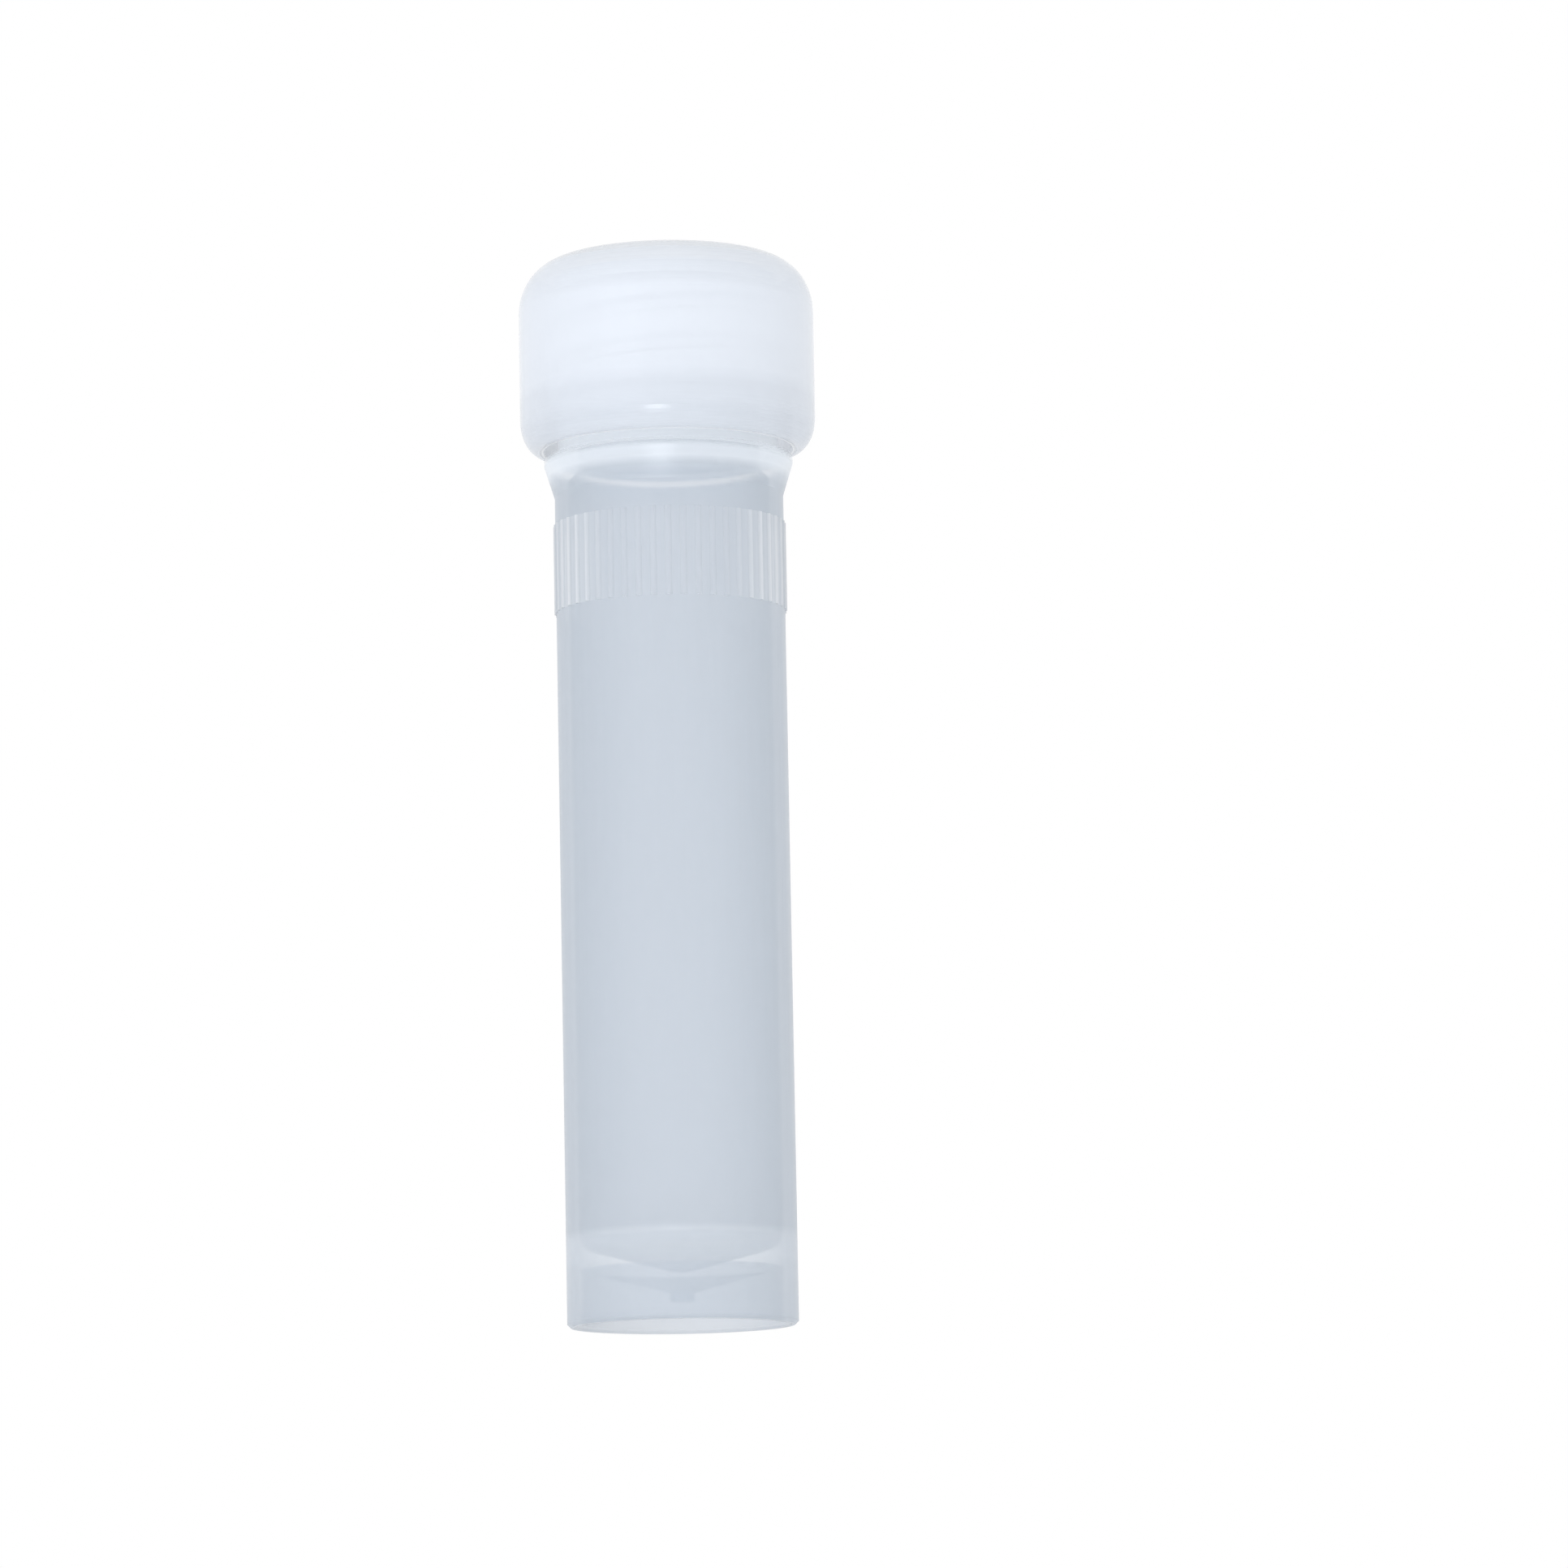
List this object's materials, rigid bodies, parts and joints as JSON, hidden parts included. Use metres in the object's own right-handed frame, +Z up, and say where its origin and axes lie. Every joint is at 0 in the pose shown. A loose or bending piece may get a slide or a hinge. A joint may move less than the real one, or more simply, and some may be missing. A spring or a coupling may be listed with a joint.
{
  "type": "cryovial",
  "caption": "Self-standing cryovial: translucent moulded vial on a skirted foot, with a ribbed grip band under a collar and a smooth milky screw cap that seals on a washer.",
  "frame": {"origin": "centre of the foot ring, on the surface the vial stands on", "axes": "+Z up the vial's axis from the foot to the cap; X and Y are any two directions across it, because the vial is round"},
  "size_m": [0.022, 0.022, 0.0796],
  "materials": {
    "natural_polypropylene": "translucent moulded natural polypropylene",
    "milky_polypropylene": "milky moulded polypropylene, satin",
    "silicone_rubber": "translucent silicone rubber"
  },
  "bodies": {
    "vial": {"vial": "natural_polypropylene"},
    "seal": {"seal_washer": "silicone_rubber"},
    "cap": {"cap": "milky_polypropylene"}
  },
  "joints": [
    {"name": "cap_lift", "type": "slide", "parent": "vial", "child": "seal", "axis": [0, 0, 1], "range_m": [0, 0.015]},
    {"name": "cap_turn", "type": "hinge", "parent": "seal", "child": "cap", "pos_m": [0, 0, 0.07], "axis": [0, 0, 1], "range_deg": [0, 1800]}
  ],
  "couplings": [
    {"joint": "cap_lift", "follows": "cap_turn", "m_per_rad": 0.00047746}
  ]
}
